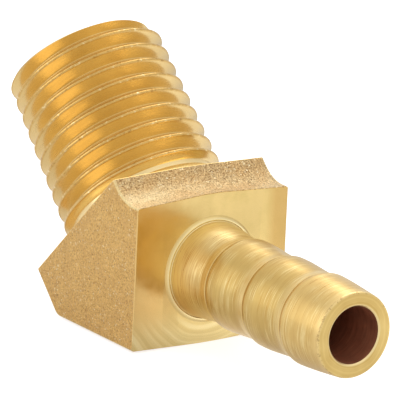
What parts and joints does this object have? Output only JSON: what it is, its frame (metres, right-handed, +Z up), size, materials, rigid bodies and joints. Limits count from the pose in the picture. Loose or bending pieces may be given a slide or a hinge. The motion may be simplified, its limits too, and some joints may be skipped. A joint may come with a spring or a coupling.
{
  "type": "hose barb elbow fitting",
  "caption": "Brass 45 degree elbow fitting with a square forged body, a male taper pipe thread on its upper arm and a turned hose barb on the other.",
  "frame": {"origin": "on the flat strip along the body's bottom, straight below the point where the two arms' axes cross", "axes": "+X along the hose barb towards its tip, +Z up, the thread's axis in the XZ plane rising 45 degrees towards -X"},
  "size_m": [0.042, 0.0142, 0.0226],
  "materials": {
    "forged_brass": "shot-blasted forging with bright machined face and thread",
    "turned_brass": "satin, fine lathe lines round the axis"
  },
  "bodies": {
    "root": {"elbow_body": "forged_brass", "hose_barb": "turned_brass"}
  },
  "joints": []
}
